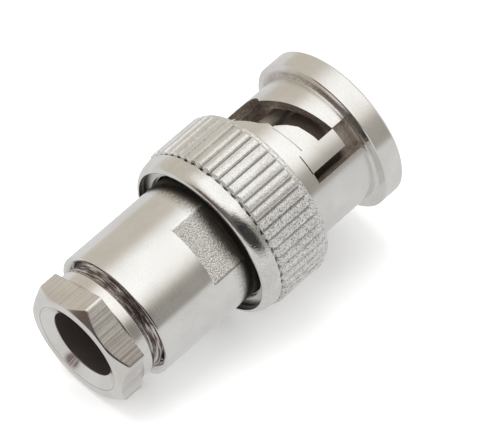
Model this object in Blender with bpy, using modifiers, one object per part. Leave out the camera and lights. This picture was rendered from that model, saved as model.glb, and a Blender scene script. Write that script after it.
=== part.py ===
"""Clamp-type BNC cable plug: bayonet coupling, plug body and hexagonal gland nut.

The plug stands on the mating face of its coupling. The origin is the centre of that face, +Z runs along
the axis to the cable end, and the side that faces a viewer is -Y. Lengths are in metres, radii are radii.
"""

import math

import bmesh
import bpy
from mathutils import Matrix, Vector

MM = 0.001

# Fits
RUNNING_FIT = 0.06 * MM  # radial, between a turning or sliding piece and what carries it
SEAT_GAP = 0.10 * MM  # axial, between two faces that rest on each other
SLIP_FIT = 0.07 * MM  # radial, round a piece that stays put

# Coupling: collar, barrel, knurled ring and lip, front to rear
COLLAR_RISE = 1.02 * MM  # of the collar over the barrel
COLLAR_LENGTH = 1.96 * MM
COLLAR_CHAMFER = 0.22 * MM
BARREL_RADIUS = 5.68 * MM
BARREL_LENGTH = 6.64 * MM
BARREL_FILLET = 0.26 * MM
BARREL_WALL = 0.78 * MM
KNURL_WALL = 0.90 * MM  # from the rear bore to the top of a rib
KNURL_RIBS = 52
KNURL_PHASE = 0.4  # degrees, of the first groove
RIB_HEIGHT = 0.22 * MM
RIB_LENGTH = 4.50 * MM
GROOVE_WIDTH = 0.46 * MM
GROOVE_EXTRA = 0.06 * MM  # how far a groove runs below the bands beside the ribs
KNURL_BAND = 0.35 * MM
LIP_LENGTH = 1.60 * MM
LIP_ROUND = 0.62 * MM
SPRING_ROOM = 1.55 * MM  # axial, between the flange and the thrust washer
SPRING_SPACE = 0.91 * MM  # radial, between the body and the coupling
RING_GROOVE_DEPTH = 0.30 * MM
RING_LIP = 0.55 * MM  # coupling left behind the retaining ring's groove

# Bayonet: each start is a lug channel, a window, a slit, a ramp and a locking hole, twice round
BAYONET_STARTS = 2
CHANNEL_ANGLES = (-26.3, -0.5)
CHANNEL_ROOF = 0.18 * MM  # left over the lug channel, below the barrel's surface
CHANNEL_LENGTH = 6.88 * MM
WINDOW_LENGTH = 1.42 * MM
SLIT_ANGLE = -16.7
BRIDGE_RISE = 0.10 * MM
BRIDGE_ANGLE = 30.0
RAMP_START = 3.42 * MM
RAMP_RISE = (0.0165 * MM, 0.00015 * MM)  # of the leading edge, per degree and per degree squared
RAMP_WIDTHS = (
    (-1.0, 1.53),
    (4.0, 1.53),
    (17.0, 1.60),
    (24.0, 1.95),
    (31.0, 2.52),
    (36.0, 2.35),
    (41.0, 2.60),
    (66.0, 2.46),
)
LOCK_ANGLE = 72.0
LOCK_DEPTH = 6.13 * MM
LOCK_RADIUS = 1.36 * MM

# Plug body
FLANGE_THICKNESS = 0.90 * MM
BODY_RADIUS = 5.44 * MM
BODY_LENGTH = 12.55 * MM
BODY_EDGE = 0.12 * MM
CONTACT_SOCKET_DEPTH = 2.10 * MM
CONTACT_LEDGE = 0.40 * MM  # step that the outer contact butts on
CLAMP_LEDGE = 0.90 * MM  # step that the braid clamp is squeezed on
CLAMP_BORE_DEPTH = 2.00 * MM
BODY_WALL = 0.59 * MM
THREAD_DEPTH = 5.55 * MM
MOUTH_CHAMFER = 0.14 * MM
FLAT_DEPTH = 0.65 * MM
FLAT_SETBACK = 0.05 * MM  # from the coupling's rear to where the wrench flats start
FLAT_LENGTH = 3.05 * MM
FLAT_ANGLE = -6.2

# Springs and rings behind the flange
RING_THICKNESS = 0.25 * MM
RING_CLEARANCE = 0.28 * MM  # radial, between the body and the retaining ring
RING_GAP_ANGLE = 34.0
THRUST_THICKNESS = 0.25 * MM
WAVE_THICKNESS = 0.18 * MM
WAVE_CLEARANCE = 0.14 * MM  # radial, between the body and the washers
WAVE_CRESTS_COUNT = 3

# Contacts and insulators
CONTACT_TIP = 1.05 * MM
JACK_SPACE = 0.95 * MM  # radial, for the jack between the outer contact and the coupling
CONTACT_WALL = 0.50 * MM
CONTACT_BEAD = 0.14 * MM
CONTACT_BEAD_LENGTH = 0.90 * MM
CONTACT_SLOT_WIDTH = 0.42 * MM
CONTACT_SLOT_LENGTH = 5.60 * MM
SEAL_WIDTH = 0.74 * MM
SEAL_THICKNESS = 0.60 * MM
PIN_RADIUS = 0.68 * MM
PIN_TIP = 4.70 * MM
PIN_NOSE = 0.55 * MM
PIN_COLLAR_RADIUS = 1.65 * MM
PIN_COLLAR_LENGTH = 0.50 * MM
PIN_REAR_RADIUS = 1.10 * MM
PIN_STANDOUT = 0.80 * MM  # of the pin's bored end behind the rear insulator
SOLDER_BORE = 0.62 * MM
SOLDER_FLOOR = 0.90 * MM  # from the pin's collar to the bottom of the bore
INSULATOR_FRONT_END = 8.20 * MM

# Cable clamp
CLAMP_FLANGE = 0.55 * MM
CLAMP_NOSE = 1.55 * MM
CLAMP_WALL = 2.35 * MM  # from the clamp's seat to its bore
GASKET_THICKNESS = 1.20 * MM
GASKET_GRIP = 0.30 * MM  # how far the gasket reaches in past the gland's bore
GASKET_VEE = 0.40 * MM
TIGHTENING_TRAVEL = 1.10 * MM
SLIP_WASHER_THICKNESS = 0.40 * MM

# Gland nut
SHANK_CLEARANCE = 0.13 * MM  # radial, between the shank's crests and the body's thread
SHANK_LENGTH = 3.62 * MM
HEX_INSET = 0.095 * MM  # of the hexagon's flats from the shank's crests
HEX_THICKNESS = 2.19 * MM
HEX_CORNER_ANGLE = 18.4
HEX_CHAMFER = 0.74 * MM
HEX_FACE_INSET = 0.025 * MM  # of the rear face's rim from the flats
GLAND_WALL = 1.82 * MM  # from the shank's crests to the bore
COUNTERSINK_WIDTH = 0.97 * MM
COUNTERSINK_DEPTH = 0.58 * MM

# Segments round a turned piece
FINE_SEGMENTS = 78
MEDIUM_SEGMENTS = 60
SMALL_SEGMENTS = 40
BORE_SEGMENTS = 41  # shares no angle with the blank that it is cut from

# Radii from the two sizes that drive them, BARREL_RADIUS and BODY_RADIUS
collar_radius = BARREL_RADIUS + COLLAR_RISE
coupling_bore = BARREL_RADIUS - BARREL_WALL
channel_ceiling = BARREL_RADIUS - CHANNEL_ROOF
contact_radius = coupling_bore - JACK_SPACE
insulator_bore = contact_radius - CONTACT_LEDGE
rear_bore = BODY_RADIUS + SPRING_SPACE
knurl_radius = rear_bore + KNURL_WALL
band_radius = knurl_radius - RIB_HEIGHT
ring_inner = BODY_RADIUS + RING_CLEARANCE
wave_inner = BODY_RADIUS + WAVE_CLEARANCE
flange_radius = rear_bore - RUNNING_FIT
thread_bore = BODY_RADIUS - BODY_WALL
clamp_bore = thread_bore - CLAMP_LEDGE
clamp_cable_radius = clamp_bore - CLAMP_WALL
shank_radius = thread_bore - SHANK_CLEARANCE
hex_flat = shank_radius - HEX_INSET
hex_face_radius = hex_flat - HEX_FACE_INSET
gland_bore = shank_radius - GLAND_WALL
gasket_cable_radius = gland_bore - GASKET_GRIP
countersink_radius = gland_bore + COUNTERSINK_WIDTH
flat_distance = BODY_RADIUS - FLAT_DEPTH

# Where the pieces lie along the axis
collar_rear = COLLAR_LENGTH
knurl_front = collar_rear + BARREL_LENGTH
rib_front = knurl_front + KNURL_BAND
rib_rear = rib_front + RIB_LENGTH
coupling_rear = rib_rear + LIP_LENGTH

ring_rear = coupling_rear - RING_LIP - SEAT_GAP / 2
ring_front = ring_rear - RING_THICKNESS
thrust_rear = ring_front - SEAT_GAP
thrust_front = thrust_rear - THRUST_THICKNESS

flange_rear = thrust_front - SPRING_ROOM
flange_front = flange_rear - FLANGE_THICKNESS
shoulder_depth = flange_front - SEAT_GAP
body_rear = flange_front + BODY_LENGTH
contact_rear = flange_front + CONTACT_SOCKET_DEPTH
flat_middle = coupling_rear + FLAT_SETBACK + FLAT_LENGTH / 2
thread_front = body_rear - THREAD_DEPTH
clamp_bore_front = thread_front - CLAMP_BORE_DEPTH

insulator_front_rear = contact_rear + 2 * SEAT_GAP
pin_collar_rear = insulator_front_rear + SEAT_GAP
pin_collar_front = pin_collar_rear - PIN_COLLAR_LENGTH
insulator_rear_front = pin_collar_rear + SEAT_GAP
insulator_rear_end = clamp_bore_front - SEAT_GAP
pin_rear = insulator_rear_end + PIN_STANDOUT

clamp_front = thread_front + SEAT_GAP
clamp_rear = clamp_front + CLAMP_FLANGE
gasket_front = clamp_rear + SEAT_GAP
gasket_rear = gasket_front + GASKET_THICKNESS
slip_front = gasket_rear + SEAT_GAP + TIGHTENING_TRAVEL
slip_rear = slip_front + SLIP_WASHER_THICKNESS
shank_front = slip_rear + SEAT_GAP
hex_front = shank_front + SHANK_LENGTH
hex_rear = hex_front + HEX_THICKNESS


def clear_scene():
    for obj in list(bpy.data.objects):
        bpy.data.objects.remove(obj, do_unlink=True)


def new_collection(name):
    collection = bpy.data.collections.new(name)
    bpy.context.scene.collection.children.link(collection)
    return collection


def material(name, color, roughness, metallic):
    mat = bpy.data.materials.new(name)
    mat.use_nodes = True
    shader = mat.node_tree.nodes["Principled BSDF"]
    shader.inputs["Base Color"].default_value = (*color, 1.0)
    shader.inputs["Roughness"].default_value = roughness
    shader.inputs["Metallic"].default_value = metallic
    mat.diffuse_color = (*color, 1.0)
    return mat


def polar(radius, degrees, z=0.0):
    """A point at an angle round the axis; 0 degrees faces the viewer at -Y and angles grow towards +X."""
    angle = math.radians(degrees - 90.0)
    return Vector((radius * math.cos(angle), radius * math.sin(angle), z))


def mesh_object(name, bm, collection, mat=None):
    mesh = bpy.data.meshes.new(name)
    bm.to_mesh(mesh)
    bm.free()
    obj = bpy.data.objects.new(name, mesh)
    collection.objects.link(obj)
    if mat:
        mesh.materials.append(mat)
        mesh.shade_smooth()
        mesh.set_sharp_from_angle(angle=math.radians(28))
    return obj


def hide_cutter(obj):
    obj.hide_render = True
    obj.display_type = "WIRE"
    return obj


def turned(name, profile, collection, steps, mat=None, closed=True):
    """Revolves a profile of (radius, z) points that runs down its outer side and up its inner side."""
    bm = bmesh.new()
    verts = [bm.verts.new((r, 0.0, z)) for r, z in profile]
    for a, b in zip(verts, verts[1:]):
        bm.edges.new((a, b))
    if closed:
        bm.edges.new((verts[-1], verts[0]))
    obj = mesh_object(name, bm, collection, mat)
    screw = obj.modifiers.new("Turn", "SCREW")
    screw.steps = steps
    screw.render_steps = steps
    screw.use_merge_vertices = True
    screw.merge_threshold = 1e-7
    screw.use_smooth_shade = bool(mat)
    return obj


def boolean(obj, cutter, operation="DIFFERENCE"):
    mod = obj.modifiers.new(cutter.name, "BOOLEAN")
    mod.operation = operation
    mod.solver = "EXACT"
    mod.object = cutter


def arc(centre_r, centre_z, radius, start, end, count):
    """Profile points on an arc, from start to end degrees measured from +X towards +Z."""
    points = []
    for i in range(count + 1):
        angle = math.radians(start + (end - start) * i / count)
        points.append((centre_r + radius * math.cos(angle), centre_z + radius * math.sin(angle)))
    return points


def tube(inner, outer, front, rear):
    return [(outer, rear), (outer, front), (inner, front), (inner, rear)]


def wrapped_blocks(name, stations, inner, outer, collection, copies):
    """Lofts a block round the axis through stations of (degrees, front z, rear z), repeated round it."""
    dense = []
    for (a0, f0, r0), (a1, f1, r1) in zip(stations, stations[1:]):
        count = max(1, round(abs(a1 - a0) / 4.0))
        for i in range(count):
            t = i / count
            dense.append((a0 + (a1 - a0) * t, f0 + (f1 - f0) * t, r0 + (r1 - r0) * t))
    dense.append(stations[-1])
    bm = bmesh.new()
    for copy in range(copies):
        turn = 360.0 * copy / copies
        rows = []
        for degrees, front, rear in dense:
            corners = ((inner, front), (outer, front), (outer, rear), (inner, rear))
            rows.append([bm.verts.new(polar(r, degrees + turn, z)) for r, z in corners])
        for near, far in zip(rows, rows[1:]):
            for i in range(4):
                bm.faces.new((near[i], near[(i + 1) % 4], far[(i + 1) % 4], far[i]))
        bm.faces.new(rows[0][::-1])
        bm.faces.new(rows[-1])
    bmesh.ops.recalc_face_normals(bm, faces=bm.faces)
    return hide_cutter(mesh_object(name, bm, collection))


def ramp_edge(degrees):
    """The leading edge of the bayonet ramp, where the lug rides."""
    return RAMP_START + RAMP_RISE[0] * degrees + RAMP_RISE[1] * degrees * degrees


def knurl_cutters(collection):
    """Grooves between the ribs: a box for each, drawn in towards its floor."""
    depth = RIB_HEIGHT + GROOVE_EXTRA
    above = 0.30 * MM
    height = depth + above
    length = RIB_LENGTH + 2 * GROOVE_EXTRA
    bm = bmesh.new()
    for i in range(KNURL_RIBS):
        made = bmesh.ops.create_cube(bm, size=1.0)["verts"]
        for vert in made:
            taper = 0.35 if vert.co.x < 0 else 1.0 + above / depth
            vert.co.y *= GROOVE_WIDTH * taper
            vert.co.x *= height
            vert.co.z *= length
        middle = knurl_radius - depth + height / 2
        place = Matrix.Translation((middle, 0.0, (rib_front + rib_rear) / 2))
        turn = Matrix.Rotation(math.radians(KNURL_PHASE - 90.0 + 360.0 * i / KNURL_RIBS), 4, "Z")
        bmesh.ops.transform(bm, matrix=turn @ place, verts=made)
    return hide_cutter(mesh_object("knurl_cutters", bm, collection))


def bayonet_cutters(sleeve, collection):
    """Cuts each start of the bayonet: the lug enters under the bridge, rides the ramp and drops in the hole."""
    first, last = CHANNEL_ANGLES
    window_front = collar_rear + 0.07 * MM
    window_rear = window_front + WINDOW_LENGTH
    through = BARREL_RADIUS + 0.50 * MM
    inside = coupling_bore - 0.50 * MM
    under = channel_ceiling - 0.15 * MM
    bridge = [
        (SLIT_ANGLE - 1.0, window_rear - 0.20 * MM, CHANNEL_LENGTH),
        (last, window_rear - 0.20 * MM, CHANNEL_LENGTH),
        (last + 2.0, ramp_edge(0) + 0.30 * MM, CHANNEL_LENGTH - 0.43 * MM),
        (BRIDGE_ANGLE, ramp_edge(BRIDGE_ANGLE) + 0.30 * MM, CHANNEL_LENGTH - 0.18 * MM),
    ]
    made = wrapped_blocks("bridge", bridge, under, BARREL_RADIUS + BRIDGE_RISE, collection, BAYONET_STARTS)
    boolean(sleeve, made, "UNION")
    channel = [(first, -1.0 * MM, CHANNEL_LENGTH), (last, -1.0 * MM, CHANNEL_LENGTH)]
    boolean(sleeve, wrapped_blocks("channel", channel, inside, channel_ceiling, collection, BAYONET_STARTS))
    slit_rear = CHANNEL_LENGTH - 0.03 * MM
    window = [
        (first - 0.1, window_front, slit_rear),
        (SLIT_ANGLE - 0.1, window_front, slit_rear),
        (SLIT_ANGLE, window_front, window_rear),
        (last + 0.1, window_front, window_rear),
    ]
    boolean(sleeve, wrapped_blocks("window", window, under, through, collection, BAYONET_STARTS))
    ramp = [(a, ramp_edge(max(a, 0)), ramp_edge(max(a, 0)) + width * MM) for a, width in RAMP_WIDTHS]
    boolean(sleeve, wrapped_blocks("ramp", ramp, inside, through, collection, BAYONET_STARTS))
    bm = bmesh.new()
    for copy in range(BAYONET_STARTS):
        degrees = LOCK_ANGLE + 360.0 * copy / BAYONET_STARTS
        place = Matrix.Translation(polar((inside + through) / 2, degrees, LOCK_DEPTH))
        lie_down = Matrix.Rotation(math.radians(90.0), 4, "Y")
        turn = Matrix.Rotation(math.radians(degrees - 90.0), 4, "Z") @ lie_down
        bmesh.ops.create_cone(
            bm,
            cap_ends=True,
            segments=28,
            radius1=LOCK_RADIUS,
            radius2=LOCK_RADIUS,
            depth=through - inside + 0.2 * MM,
            matrix=place @ turn,
        )
    boolean(sleeve, hide_cutter(mesh_object("lock_hole", bm, collection)))


def coupling_sleeve(parts, cutters, mat):
    lip = arc(band_radius - LIP_ROUND, coupling_rear - LIP_ROUND, LIP_ROUND, 90, 0, 5)
    groove_front = ring_front - SEAT_GAP / 2
    groove_rear = ring_rear + SEAT_GAP / 2
    groove_radius = rear_bore + RING_GROOVE_DEPTH
    profile = [
        *lip,
        (band_radius, rib_rear),
        (knurl_radius, rib_rear),
        (knurl_radius, rib_front),
        (band_radius, rib_front),
        (band_radius, knurl_front + 0.08 * MM),
        (band_radius - 0.14 * MM, knurl_front - 0.06 * MM),
        (BARREL_RADIUS, knurl_front - 0.20 * MM),
        *arc(BARREL_RADIUS + BARREL_FILLET, collar_rear + BARREL_FILLET, BARREL_FILLET, 180, 270, 3),
        (collar_radius - 0.06 * MM, collar_rear),
        (collar_radius, collar_rear - 0.06 * MM),
        (collar_radius, COLLAR_CHAMFER),
        (collar_radius - COLLAR_CHAMFER, 0.0),
        (coupling_bore + COLLAR_CHAMFER, 0.0),
        (coupling_bore, COLLAR_CHAMFER),
        (coupling_bore, shoulder_depth),
        (rear_bore, shoulder_depth),
        (rear_bore, groove_front),
        (groove_radius, groove_front),
        (groove_radius, groove_rear),
        (rear_bore, groove_rear),
        (rear_bore, coupling_rear - 0.06 * MM),
    ]
    sleeve = turned("coupling_sleeve", profile, parts, FINE_SEGMENTS, mat)
    boolean(sleeve, knurl_cutters(cutters))
    bayonet_cutters(sleeve, cutters)
    return sleeve


def body_shell(parts, cutters, mat):
    profile = [
        (BODY_RADIUS - BODY_EDGE, body_rear),
        (BODY_RADIUS, body_rear - BODY_EDGE),
        (BODY_RADIUS, flange_rear),
        (flange_radius, flange_rear),
        (flange_radius, flange_front + BODY_EDGE),
        (flange_radius - BODY_EDGE, flange_front),
        (contact_radius + SLIP_FIT, flange_front),
        (contact_radius + SLIP_FIT, contact_rear),
        (insulator_bore, contact_rear),
        (insulator_bore, clamp_bore_front),
        (clamp_bore, clamp_bore_front),
        (clamp_bore, thread_front),
        (thread_bore, thread_front),
        (thread_bore, body_rear - MOUTH_CHAMFER),
        (thread_bore + MOUTH_CHAMFER, body_rear),
    ]
    shell = turned("body_shell", profile, parts, MEDIUM_SEGMENTS, mat)
    bm = bmesh.new()
    for side in (0.0, 180.0):
        made = bmesh.ops.create_cube(bm, size=1.0)["verts"]
        size = Matrix.Diagonal((2.0 * MM, 4 * BODY_RADIUS, FLAT_LENGTH, 1.0))
        place = Matrix.Translation((flat_distance + 1.0 * MM, 0.0, flat_middle))
        turn = Matrix.Rotation(math.radians(FLAT_ANGLE - 90.0 + side), 4, "Z")
        bmesh.ops.transform(bm, matrix=turn @ place @ size, verts=made)
    boolean(shell, hide_cutter(mesh_object("wrench_flats", bm, cutters)))
    return shell


def retaining_ring(parts, cutters, mat):
    outer = rear_bore + RING_GROOVE_DEPTH - SLIP_FIT
    ring = turned("retaining_ring", tube(ring_inner, outer, ring_front, ring_rear), parts, MEDIUM_SEGMENTS, mat)
    gap = [
        (180.0 - RING_GAP_ANGLE / 2, ring_front - 1.0 * MM, ring_rear + 1.0 * MM),
        (180.0 + RING_GAP_ANGLE / 2, ring_front - 1.0 * MM, ring_rear + 1.0 * MM),
    ]
    boolean(ring, wrapped_blocks("ring_gap", gap, ring_inner - 1.0 * MM, outer + 1.0 * MM, cutters, 1))
    return ring


def wave_washer(name, parts, middle, amplitude, phase, mat):
    """A flat ring whose points are raised by a cosine with WAVE_CRESTS_COUNT crests round it."""
    outer = flange_radius - SLIP_FIT
    bm = bmesh.new()
    rows = []
    for i in range(MEDIUM_SEGMENTS):
        angle = 2 * math.pi * i / MEDIUM_SEGMENTS
        rise = middle + amplitude * math.cos(WAVE_CRESTS_COUNT * angle + phase)
        section = tube(wave_inner, outer, rise - WAVE_THICKNESS / 2, rise + WAVE_THICKNESS / 2)
        rows.append([bm.verts.new((r * math.cos(angle), r * math.sin(angle), z)) for r, z in section])
    for near, far in zip(rows, rows[1:] + rows[:1]):
        for i in range(4):
            bm.faces.new((near[i], near[(i + 1) % 4], far[(i + 1) % 4], far[i]))
    bmesh.ops.recalc_face_normals(bm, faces=bm.faces)
    return mesh_object(name, bm, parts, mat)


def spring_washers(parts, mat):
    """Two wave washers set crest to crest fill the space between the flange and the thrust washer."""
    space = thrust_front - flange_rear
    height = (space - 3 * SEAT_GAP) / 2
    amplitude = (height - WAVE_THICKNESS) / 2
    first = flange_rear + SEAT_GAP + height / 2
    wave_washer("wave_washer_front", parts, first, amplitude, 0.0, mat)
    wave_washer("wave_washer_rear", parts, first + height + SEAT_GAP, amplitude, math.pi, mat)


def outer_contact(parts, cutters, mat):
    """A thin sleeve whose front is slit into four fingers with a rounded bead at their tips."""
    inner = contact_radius - CONTACT_WALL
    bead = contact_radius + CONTACT_BEAD
    profile = [
        (contact_radius, contact_rear - SEAT_GAP),
        (contact_radius, CONTACT_TIP + CONTACT_BEAD_LENGTH),
        (bead, CONTACT_TIP + CONTACT_BEAD_LENGTH * 0.6),
        (bead, CONTACT_TIP + 0.16 * MM),
        (bead - 0.16 * MM, CONTACT_TIP),
        (inner + 0.12 * MM, CONTACT_TIP),
        (inner, CONTACT_TIP + 0.12 * MM),
        (inner, contact_rear - SEAT_GAP),
    ]
    contact = turned("outer_contact", profile, parts, SMALL_SEGMENTS, mat)
    place = Matrix.Translation((0, 0, CONTACT_TIP))
    size = Matrix.Diagonal((4 * contact_radius, CONTACT_SLOT_WIDTH, 2 * CONTACT_SLOT_LENGTH, 1.0))
    for degrees in (45.0, 135.0):
        bm = bmesh.new()
        turn = Matrix.Rotation(math.radians(degrees), 4, "Z")
        bmesh.ops.create_cube(bm, size=1.0, matrix=place @ turn @ size)
        boolean(contact, hide_cutter(mesh_object(f"finger_slot_{degrees:.0f}", bm, cutters)))
    return contact


def front_seal(parts, mat):
    inner = contact_radius + SLIP_FIT
    rear = flange_front - SEAT_GAP
    profile = tube(inner, inner + SEAL_WIDTH, rear - SEAL_THICKNESS, rear)
    return turned("front_seal", profile, parts, SMALL_SEGMENTS, mat)


def center_pin(parts, mat):
    """The pin: a rounded nose, a collar held between the insulators and a bored end for the wire."""
    profile = [
        (SOLDER_BORE, pin_rear),
        (PIN_REAR_RADIUS, pin_rear),
        (PIN_REAR_RADIUS, pin_collar_rear),
        (PIN_COLLAR_RADIUS, pin_collar_rear),
        (PIN_COLLAR_RADIUS, pin_collar_front),
        (PIN_RADIUS, pin_collar_front),
        (PIN_RADIUS, PIN_TIP + PIN_NOSE),
        (PIN_RADIUS * 0.80, PIN_TIP + PIN_NOSE * 0.45),
        (PIN_RADIUS * 0.42, PIN_TIP + PIN_NOSE * 0.08),
        (0.0, PIN_TIP),
    ]
    floor_z = pin_collar_rear + SOLDER_FLOOR
    floor = [(0.0, floor_z), (SOLDER_BORE, floor_z)]
    return turned("center_pin", [*floor, *profile], parts, 32, mat, closed=False)


def insulators(parts, mat):
    """The front bush carries the pin inside the outer contact and takes its collar; the rear bush traps it."""
    front_radius = contact_radius - CONTACT_WALL - SLIP_FIT
    pin_hole = PIN_RADIUS + SLIP_FIT
    collar_hole = PIN_COLLAR_RADIUS + SLIP_FIT
    recess = pin_collar_front - SEAT_GAP
    front = [
        (front_radius, insulator_front_rear),
        (front_radius, INSULATOR_FRONT_END),
        (pin_hole, INSULATOR_FRONT_END),
        (pin_hole, recess),
        (collar_hole, recess),
        (collar_hole, insulator_front_rear),
    ]
    turned("insulator_front", front, parts, SMALL_SEGMENTS, mat)
    rear = tube(PIN_REAR_RADIUS + SLIP_FIT, insulator_bore - SLIP_FIT, insulator_rear_front, insulator_rear_end)
    turned("insulator_rear", rear, parts, SMALL_SEGMENTS, mat)


def cable_clamp(parts, metal, rubber):
    """Braid clamp, gasket and slip washer, in the order that the gland nut squeezes them."""
    cavity = thread_bore - SLIP_FIT
    nose = clamp_bore - SLIP_FIT
    clamp = [
        (cavity, clamp_rear),
        (cavity, clamp_front),
        (nose, clamp_front),
        (nose - 0.35 * MM, clamp_front - CLAMP_NOSE),
        (clamp_cable_radius, clamp_front - CLAMP_NOSE),
        (clamp_cable_radius, clamp_rear),
    ]
    turned("braid_clamp", clamp, parts, SMALL_SEGMENTS, metal)
    middle = (cavity + gasket_cable_radius) / 2
    gasket = [
        (cavity, gasket_rear),
        (cavity, gasket_front),
        (middle + GASKET_VEE, gasket_front),
        (middle, gasket_front + GASKET_VEE),
        (middle - GASKET_VEE, gasket_front),
        (gasket_cable_radius, gasket_front),
        (gasket_cable_radius, gasket_rear),
    ]
    turned("cable_gasket", gasket, parts, SMALL_SEGMENTS, rubber)
    turned("slip_washer", tube(gland_bore, cavity, slip_front, slip_rear), parts, SMALL_SEGMENTS, metal)


def gland_nut(parts, cutters, mat):
    """A threaded tube with a hexagon whose outer corners are turned off to a cone."""
    corner = 2 * hex_flat / math.sqrt(3)
    bm = bmesh.new()
    place = Matrix.Translation((0, 0, (hex_front + hex_rear) / 2))
    # The primitive has a corner at +Y.
    turn = Matrix.Rotation(math.radians(HEX_CORNER_ANGLE - 180.0), 4, "Z")
    bmesh.ops.create_cone(
        bm,
        cap_ends=True,
        segments=6,
        radius1=corner,
        radius2=corner,
        depth=HEX_THICKNESS,
        matrix=place @ turn,
    )
    nut = mesh_object("gland_nut", bm, parts, mat)
    slope = (corner - hex_face_radius) / HEX_CHAMFER
    beyond = 0.5 * MM
    envelope = [
        (0.0, hex_rear + beyond),
        (hex_face_radius - slope * beyond, hex_rear + beyond),
        (corner + slope * beyond, hex_rear - HEX_CHAMFER - beyond),
        (corner + slope * beyond, hex_front - beyond),
        (0.0, hex_front - beyond),
    ]
    cone = turned("hex_envelope", envelope, cutters, MEDIUM_SEGMENTS, closed=False)
    boolean(nut, hide_cutter(cone), "INTERSECT")
    shank = [
        (shank_radius, hex_front + 0.4 * MM),
        (shank_radius, shank_front + 0.15 * MM),
        (shank_radius - 0.15 * MM, shank_front),
        (gland_bore - 0.5 * MM, shank_front),
        (gland_bore - 0.5 * MM, hex_front + 0.4 * MM),
    ]
    boolean(nut, hide_cutter(turned("shank_blank", shank, cutters, MEDIUM_SEGMENTS)), "UNION")
    spread = (countersink_radius - gland_bore) / COUNTERSINK_DEPTH
    bore = [
        (0.0, hex_rear + beyond),
        (countersink_radius + spread * beyond, hex_rear + beyond),
        (gland_bore, hex_rear - COUNTERSINK_DEPTH),
        (gland_bore, shank_front - beyond),
        (0.0, shank_front - beyond),
    ]
    boolean(nut, hide_cutter(turned("gland_bore", bore, cutters, BORE_SEGMENTS, closed=False)))
    return nut


def hang_on(name, parts, children, location=(0.0, 0.0, 0.0)):
    """An empty on the plug's axis carries the pieces that turn or slide together."""
    empty = bpy.data.objects.new(name, None)
    empty.empty_display_size = 2 * MM
    empty.location = location
    parts.objects.link(empty)
    for child in children:
        child.parent = empty
    return empty


def build():
    clear_scene()
    parts = new_collection("bnc_cable_plug")
    cutters = new_collection("cutters")
    nickel = material("nickel_satin", (0.78, 0.76, 0.72), 0.26, 1.0)
    cast = material("nickel_cast", (0.74, 0.72, 0.68), 0.34, 1.0)
    gland = material("nickel_milled", (0.76, 0.73, 0.68), 0.30, 1.0)
    steel = material("spring_steel", (0.55, 0.55, 0.55), 0.30, 1.0)
    gold = material("gold_plate", (0.90, 0.68, 0.30), 0.22, 1.0)
    resin = material("ptfe", (0.88, 0.88, 0.86), 0.55, 0.0)
    rubber = material("silicone_rubber", (0.42, 0.14, 0.10), 0.70, 0.0)

    sleeve = coupling_sleeve(parts, cutters, cast)
    ring = retaining_ring(parts, cutters, steel)
    thrust = tube(wave_inner, flange_radius - SLIP_FIT, thrust_front, thrust_rear)
    washer = turned("thrust_washer", thrust, parts, MEDIUM_SEGMENTS, steel)
    spring_washers(parts, steel)
    body_shell(parts, cutters, nickel)
    outer_contact(parts, cutters, gold)
    front_seal(parts, rubber)
    center_pin(parts, gold)
    insulators(parts, resin)
    cable_clamp(parts, nickel, rubber)
    nut = gland_nut(parts, cutters, gland)

    hang_on("coupling_spin_axis", parts, (sleeve, ring))
    hang_on("coupling_slide_axis", parts, (washer,))
    hang_on("gland_turn_axis", parts, (nut,))
    bpy.context.view_layer.update()


build()
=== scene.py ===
import math

import bmesh
import bpy
import numpy as np
from mathutils import Matrix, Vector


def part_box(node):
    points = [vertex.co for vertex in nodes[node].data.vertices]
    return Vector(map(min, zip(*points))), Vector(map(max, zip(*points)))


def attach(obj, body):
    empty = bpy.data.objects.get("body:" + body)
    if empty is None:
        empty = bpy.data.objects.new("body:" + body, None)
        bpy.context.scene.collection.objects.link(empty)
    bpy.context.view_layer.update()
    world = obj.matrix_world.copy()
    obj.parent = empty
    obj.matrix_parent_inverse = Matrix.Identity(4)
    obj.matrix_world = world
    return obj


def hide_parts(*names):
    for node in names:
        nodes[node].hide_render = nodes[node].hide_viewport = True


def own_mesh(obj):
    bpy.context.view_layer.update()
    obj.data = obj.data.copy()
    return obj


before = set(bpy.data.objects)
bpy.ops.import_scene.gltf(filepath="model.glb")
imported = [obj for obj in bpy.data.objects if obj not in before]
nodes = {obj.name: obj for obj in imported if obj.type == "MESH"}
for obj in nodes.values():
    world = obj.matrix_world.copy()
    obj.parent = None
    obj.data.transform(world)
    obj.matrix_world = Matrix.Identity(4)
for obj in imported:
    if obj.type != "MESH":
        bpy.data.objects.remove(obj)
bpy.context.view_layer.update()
MM = 0.001


# Plug body
# One turned piece of brass with a satin nickel plate: a flange held inside the coupling, a smooth cylinder
# with two milled wrench flats, and a threaded mouth with thin edges for the gland nut. Lengths are in mm.
BODY_RADIUS, BODY_REAR = 5.44, 23.95
FLANGE_FRONT, FLANGE_REAR, FLANGE_RADIUS = 11.40, 12.30, 6.29
CONTACT_SOCKET_RADIUS, CONTACT_SOCKET_END = 4.02, 13.50
WIRE_BORE_RADIUS, WIRE_BORE_END = 3.55, 16.40
CLAMP_SEAT_RADIUS, CLAMP_SEAT_END = 3.95, 18.40
MOUTH_RADIUS = 4.85
MOUTH_CHAMFER_WIDTH, MOUTH_CHAMFER_DEPTH = 0.30, 0.25
MOUTH_THREAD_START, MOUTH_THREAD_DEPTH, MOUTH_ROW_STEP = 18.60, 0.34, 0.0937
FLAT_DISTANCE, FLAT_FRONT, FLAT_REAR, FLAT_ANGLE = 4.79, 15.10, 18.15, -6.2
THREAD_PITCH = 0.75
# The z range and fray of the painted shade beside the coupling's lip, a brown band that paints the reflection
# of the dark gap.
Z_PAINTED_SHADE, PAINTED_SHADE_FRAY = (16.95, 15.75), 0.9
SATIN_NICKEL = ((0.84, 0.835, 0.82), (0.70, 0.68, 0.64))


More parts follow.
